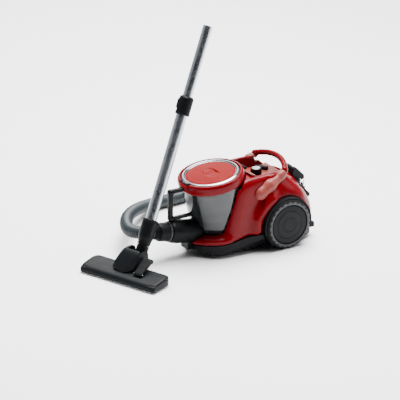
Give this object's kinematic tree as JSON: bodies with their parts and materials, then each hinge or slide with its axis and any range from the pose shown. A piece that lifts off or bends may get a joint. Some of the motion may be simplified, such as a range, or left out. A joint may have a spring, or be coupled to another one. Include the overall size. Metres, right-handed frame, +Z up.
{
  "type": "canister vacuum cleaner",
  "caption": "Bagless canister vacuum cleaner with clear cyclone bin, large rear wheels, ribbed hose, telescopic wand and floor nozzle.",
  "frame": {"origin": "on the floor, under the middle of the object's box without its hose", "axes": "+Z up, -Y the way the canister's nose and hose inlet point, +X the canister's left side seen from its nose"},
  "size_m": [0.6579, 0.8862, 0.7142],
  "materials": {
    "red_gloss": "glossy red moulded plastic",
    "pale_red": "glossy lighter red moulded plastic",
    "lid_tint": "translucent red plastic",
    "smoke_clear": "clear grey plastic",
    "black_matte": "fine-grained black plastic",
    "graphite_matte": "fine-grained dark grey plastic",
    "black_gloss": "smooth black plastic",
    "dark_core": "satin dark grey plastic",
    "bright_ring": "bright chrome",
    "ring_grey": "satin grey plastic",
    "tube_metal": "satin drawn tube",
    "steel_part": "ground steel",
    "hose_grey": "ribbed grey plastic hose",
    "tyre_rubber": "soft black tread",
    "bristle": "stiff dark bristles",
    "filter_foam": "open white foam",
    "mesh_metal": "fine perforated metal",
    "copper_winding": "lacquered winding",
    "board_green": "lacquered circuit board",
    "cord_black": "black mains cord"
  },
  "bodies": {
    "canister": {"chassis": "black_matte", "body_shell": "red_gloss", "top_deck": "pale_red", "carry_handle": "red_gloss", "handle_ends": "pale_red", "arch_trims": "black_matte", "rear_axles": "steel_part", "inlet_housing": "black_matte", "park_bracket": "black_matte", "plug_bay": "black_matte", "exhaust_grille": "black_matte", "exhaust_filter": "filter_foam", "motor_housing": "dark_core", "motor_stator": "copper_winding", "motor_bearings": "steel_part", "reel_bracket": "graphite_matte", "control_board": "board_green", "hose_sleeve": "black_matte", "hose_run": "hose_grey", "hose_coil": "hose_grey", "grip_body": "black_matte"},
    "power_knob": {"power_knob": "black_gloss"},
    "release_button": {"release_button": "graphite_matte"},
    "rewind_button": {"rewind_button": "graphite_matte"},
    "caster_fork": {"caster_fork": "graphite_matte"},
    "caster_wheel": {"caster_wheel": "tyre_rubber"},
    "rear_wheel_right": {"rear_tyre_right": "tyre_rubber", "rear_wheel_right": "graphite_matte"},
    "rear_wheel_left": {"rear_tyre_left": "tyre_rubber", "rear_wheel_left": "graphite_matte"},
    "rotor": {"rotor_shaft": "steel_part", "fan_impeller": "dark_core"},
    "cord_reel": {"reel_drum": "graphite_matte", "wound_cord": "cord_black"},
    "plug": {"plug_body": "black_matte", "plug_pins": "steel_part"},
    "hose_cuff": {"hose_cuff": "black_matte", "cuff_ring": "ring_grey"},
    "grip_slider": {"grip_slider": "graphite_matte"},
    "dust_bin": {"bin_cup": "smoke_clear", "bin_rim": "red_gloss", "bin_handle": "black_gloss", "cyclone_body": "dark_core", "cyclone_mesh": "mesh_metal", "pre_filter": "filter_foam"},
    "bin_lid": {"lid_ring": "bright_ring", "lid_window": "lid_tint"},
    "nozzle_head": {"nozzle_body": "graphite_matte", "nozzle_hood": "graphite_matte", "sole_plate": "steel_part", "nozzle_pins": "steel_part"},
    "brush_strip": {"brush_strip": "bristle"},
    "pedal": {"pedal": "graphite_matte"},
    "nozzle_rollers": {"nozzle_rollers": "tyre_rubber"},
    "neck_yoke": {"neck_yoke": "black_matte"},
    "wand_lower": {"neck_tube": "black_matte", "lower_tube": "tube_metal", "wand_collar": "black_matte"},
    "wand_upper": {"upper_tube": "tube_metal"},
    "collar_slider": {"collar_slider": "graphite_matte"}
  },
  "joints": [
    {"name": "rear_wheel_right_spin", "type": "hinge", "parent": "canister", "child": "rear_wheel_right", "pos_m": [0.14, 0.2594, 0.081], "axis": [1, 0, 0], "continuous": true},
    {"name": "rear_wheel_left_spin", "type": "hinge", "parent": "canister", "child": "rear_wheel_left", "pos_m": [-0.1, 0.2594, 0.081], "axis": [1, 0, 0], "continuous": true},
    {"name": "caster_swivel", "type": "hinge", "parent": "canister", "child": "caster_fork", "pos_m": [0.02, 0.0344, 0.036], "axis": [0, 0, 1], "continuous": true},
    {"name": "caster_roll", "type": "hinge", "parent": "caster_fork", "child": "caster_wheel", "pos_m": [0.02, 0.0444, 0.014], "axis": [1, 0, 0], "continuous": true},
    {"name": "power_knob_turn", "type": "hinge", "parent": "canister", "child": "power_knob", "pos_m": [0.02, 0.2234, 0.215], "axis": [0, 0, 1], "range_deg": [-135, 135]},
    {"name": "release_button_press", "type": "slide", "parent": "canister", "child": "release_button", "axis": [0, -0.4226, -0.9063], "range_m": [0, 0.003], "stiffness_N_per_m": 300, "springref_m": -0.002},
    {"name": "rewind_button_press", "type": "slide", "parent": "canister", "child": "rewind_button", "axis": [0, 0, -1], "range_m": [0, 0.003], "stiffness_N_per_m": 300, "springref_m": -0.002},
    {"name": "motor_spin", "type": "hinge", "parent": "canister", "child": "rotor", "pos_m": [0.052, 0.2294, 0.108], "axis": [0, 1, 0], "continuous": true},
    {"name": "plug_pull", "type": "slide", "parent": "canister", "child": "plug", "axis": [0, 0, 1], "range_m": [0, 0.05]},
    {"name": "reel_turn", "type": "hinge", "parent": "canister", "child": "cord_reel", "pos_m": [-0.038, 0.2994, 0.118], "axis": [1, 0, 0], "range_deg": [0, 70]},
    {"name": "hose_cuff_swivel", "type": "hinge", "parent": "canister", "child": "hose_cuff", "pos_m": [0.02, -0.10781, 0.08903], "axis": [0, -0.9848, 0.1736], "continuous": true},
    {"name": "grip_slider_slide", "type": "slide", "parent": "canister", "child": "grip_slider", "axis": [-0.5, -0.866, 0], "range_m": [0, 0.014]},
    {"name": "bin_lift", "type": "slide", "parent": "canister", "child": "dust_bin", "axis": [0, -0.1564, 0.9877], "range_m": [0, 0.045]},
    {"name": "lid_hinge", "type": "hinge", "parent": "dust_bin", "child": "bin_lid", "pos_m": [0.02, -0.03789, 0.2373], "axis": [1, 0, 0], "range_deg": [0, 70]},
    {"name": "wand_set_glide", "type": "slide", "parent": "canister", "child": "nozzle_head", "axis": [0.3567, -0.9342, 0], "range_m": [0, 0.3]},
    {"name": "pedal_press", "type": "hinge", "parent": "nozzle_head", "child": "pedal", "pos_m": [0.09516, -0.30647, 0.035], "axis": [-0.9342, -0.3567, 0], "range_deg": [0, 5]},
    {"name": "brush_lift", "type": "slide", "parent": "nozzle_head", "child": "brush_strip", "axis": [0, 0, 1], "range_m": [0, 0.0042]},
    {"name": "nozzle_roller_spin", "type": "hinge", "parent": "nozzle_head", "child": "nozzle_rollers", "pos_m": [0.07625, -0.25696, 0.008], "axis": [0.9342, 0.3567, 0], "continuous": true},
    {"name": "wand_tilt", "type": "hinge", "parent": "nozzle_head", "child": "neck_yoke", "pos_m": [0.08719, -0.24636, 0.045], "axis": [0.9342, 0.3567, 0], "range_deg": [-4, 30]},
    {"name": "wand_swivel", "type": "hinge", "parent": "neck_yoke", "child": "wand_lower", "pos_m": [0.07714, -0.22004, 0.09798], "axis": [-0.1675, 0.4386, 0.8829], "range_deg": [-90, 90]},
    {"name": "wand_extend", "type": "slide", "parent": "wand_lower", "child": "wand_upper", "axis": [-0.1675, 0.4386, 0.8829], "range_m": [-0.18, 0.1]},
    {"name": "collar_slider_press", "type": "slide", "parent": "wand_lower", "child": "collar_slider", "axis": [0.1675, -0.4386, -0.8829], "range_m": [0, 0.006], "stiffness_N_per_m": 300, "springref_m": -0.002}
  ],
  "couplings": [
    {"joint": "reel_turn", "follows": "plug_pull", "rad_per_m": 23.256},
    {"joint": "brush_lift", "follows": "pedal_press", "m_per_rad": 0.0458}
  ]
}
